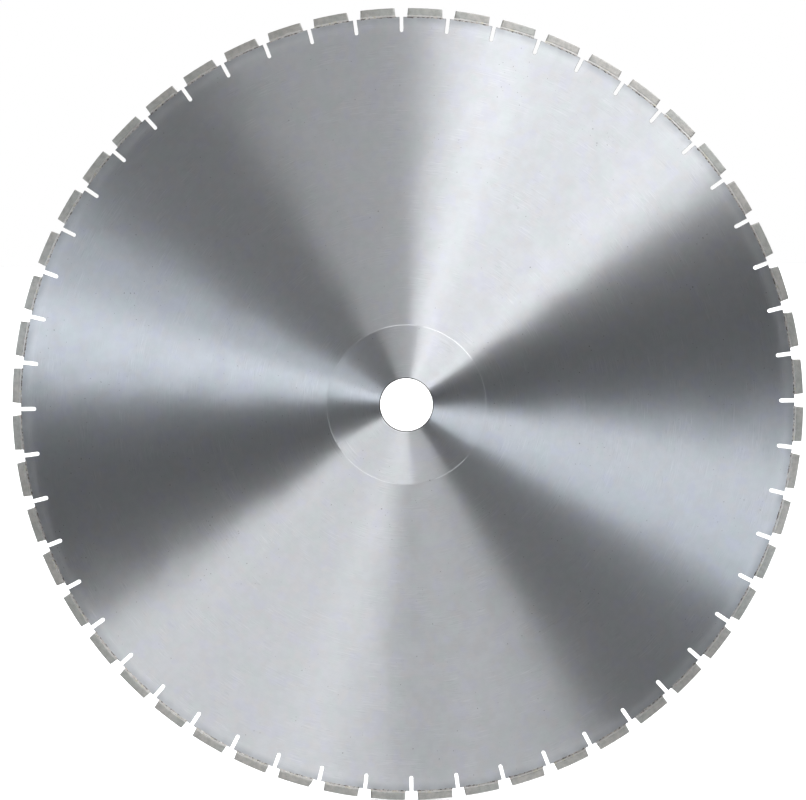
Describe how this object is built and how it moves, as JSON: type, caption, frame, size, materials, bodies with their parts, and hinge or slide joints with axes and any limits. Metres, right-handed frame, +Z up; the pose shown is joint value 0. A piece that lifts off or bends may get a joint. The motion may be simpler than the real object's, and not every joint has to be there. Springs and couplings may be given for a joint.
{
  "type": "diamond saw blade",
  "caption": "Large segmented saw blade for concrete and masonry: a thin ground steel disc with a plain arbor bore, cooling slots and brazed diamond segments round its rim.",
  "frame": {"origin": "centre of the arbor bore, midway between the two faces", "axes": "+Y along the spin axis from the front face to the back face, +Z up, the front face looks towards -Y"},
  "size_m": [0.9, 0.0046, 0.9],
  "materials": {
    "ground_steel": "ground in circles round the bore, uncoated",
    "diamond_matrix": "matt sintered metal powder with diamond grit",
    "segment_foot": "sintered metal powder without grit, ground bright",
    "silver_braze": "uneven flowed silver solder, heat tinted"
  },
  "bodies": {
    "root": {"core": "ground_steel", "segment_01": "diamond_matrix", "segment_02": "diamond_matrix", "segment_03": "diamond_matrix", "segment_04": "diamond_matrix", "segment_05": "diamond_matrix", "segment_06": "diamond_matrix", "segment_07": "diamond_matrix", "segment_08": "diamond_matrix", "segment_09": "diamond_matrix", "segment_10": "diamond_matrix", "segment_11": "diamond_matrix", "segment_12": "diamond_matrix", "segment_13": "diamond_matrix", "segment_14": "diamond_matrix", "segment_15": "diamond_matrix", "segment_16": "diamond_matrix", "segment_17": "diamond_matrix", "segment_18": "diamond_matrix", "segment_19": "diamond_matrix", "segment_20": "diamond_matrix", "segment_21": "diamond_matrix", "segment_22": "diamond_matrix", "segment_23": "diamond_matrix", "segment_24": "diamond_matrix", "segment_25": "diamond_matrix", "segment_26": "diamond_matrix", "segment_27": "diamond_matrix", "segment_28": "diamond_matrix", "segment_29": "diamond_matrix", "segment_30": "diamond_matrix", "segment_31": "diamond_matrix", "segment_32": "diamond_matrix", "segment_33": "diamond_matrix", "segment_34": "diamond_matrix", "segment_35": "diamond_matrix", "segment_36": "diamond_matrix", "segment_37": "diamond_matrix", "segment_38": "diamond_matrix", "segment_39": "diamond_matrix", "segment_40": "diamond_matrix", "segment_41": "diamond_matrix", "segment_42": "diamond_matrix", "segment_43": "diamond_matrix", "segment_44": "diamond_matrix", "segment_45": "diamond_matrix", "segment_46": "diamond_matrix", "segment_47": "diamond_matrix", "segment_48": "diamond_matrix", "segment_49": "diamond_matrix", "segment_50": "diamond_matrix", "segment_51": "diamond_matrix", "segment_52": "diamond_matrix", "segment_feet": "segment_foot", "braze_joints": "silver_braze"}
  },
  "joints": []
}
